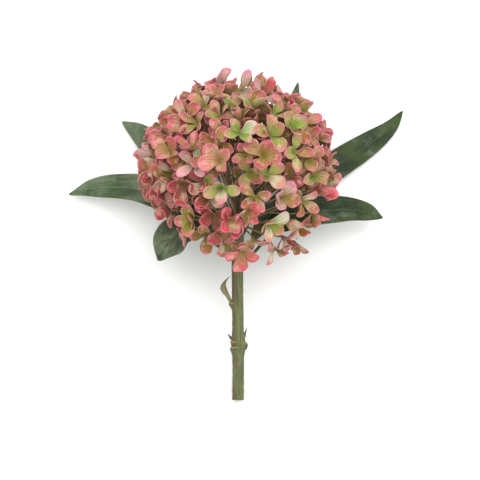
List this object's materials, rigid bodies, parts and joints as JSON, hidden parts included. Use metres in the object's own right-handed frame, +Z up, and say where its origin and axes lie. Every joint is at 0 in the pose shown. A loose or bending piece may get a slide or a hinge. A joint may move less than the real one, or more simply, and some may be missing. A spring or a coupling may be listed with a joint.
{
  "type": "cut hydrangea stem",
  "caption": "Cut hydrangea stem lying on its side: a bare stem with lance-shaped leaves and a round head of small cupped florets on forked stalks.",
  "frame": {"origin": "centre of the bounding box in X and Y, at the height of the surface that the stem lies on", "axes": "+Y along the stem from the cut end to the flower head, which lies higher than the cut end, so the stem rises about 20 degrees; +X to the right of someone who looks down on it with the head away from them; +Z up"},
  "size_m": [0.2562, 0.2604, 0.1372],
  "materials": {
    "bark": "olive-green bark with a reddish-brown side, matt, finely streaked along the stem",
    "leaf_green": "grey-green leaf with paler veins, soft satin",
    "leaf_dark": "dark green leaf with paler veins, soft satin",
    "leaf_pale": "pale grey-green leaf with clear side veins, soft satin",
    "young_leaf": "curled young leaf, olive with a red-brown edge",
    "sepal_pink": "papery sepal, tan-green at its base and pink to red at its rim, finely veined",
    "sepal_rose": "papery sepal, tan at its base and dusty rose at its rim, finely veined",
    "sepal_olive": "papery sepal, olive at its base and brown-pink at its rim, finely veined",
    "sepal_green": "papery sepal, lime green at its base and blushed pink at its rim, finely veined"
  },
  "bodies": {
    "root": {"bud_left": "bark", "bud_right": "bark", "bud_scale": "bark", "floret_cluster_01": "sepal_rose", "floret_cluster_02": "sepal_rose", "floret_cluster_03": "sepal_pink", "floret_cluster_04": "sepal_pink", "floret_cluster_05": "sepal_pink", "floret_cluster_06": "sepal_olive", "floret_cluster_07": "sepal_pink", "floret_cluster_08": "sepal_pink", "floret_cluster_09": "sepal_rose", "floret_cluster_10": "sepal_pink", "floret_cluster_11": "sepal_green", "floret_cluster_12": "sepal_pink", "floret_cluster_13": "sepal_rose", "floret_cluster_14": "sepal_green", "floret_cluster_15": "sepal_olive", "floret_cluster_16": "sepal_pink", "floret_cluster_17": "sepal_green", "floret_cluster_18": "sepal_olive", "floret_cluster_19": "sepal_olive", "floret_cluster_20": "sepal_olive", "floret_cluster_21": "sepal_olive", "floret_cluster_22": "sepal_olive", "floret_cluster_23": "sepal_olive", "floret_cluster_24": "sepal_olive", "floret_cluster_25": "sepal_olive", "floret_cluster_26": "sepal_olive", "floret_cluster_27": "sepal_olive", "floret_cluster_28": "sepal_olive", "floret_cluster_29": "sepal_olive", "floret_cluster_30": "sepal_olive", "floret_cluster_31": "sepal_olive", "floret_cluster_32": "sepal_olive", "floret_cluster_33": "sepal_olive", "leaf_back": "leaf_green", "leaf_left": "leaf_green", "leaf_lower_left": "leaf_pale", "leaf_right": "leaf_dark", "leaf_upper_left": "leaf_green", "leaf_upper_right": "leaf_dark", "main_stem": "bark", "young_leaf": "young_leaf"}
  },
  "joints": []
}
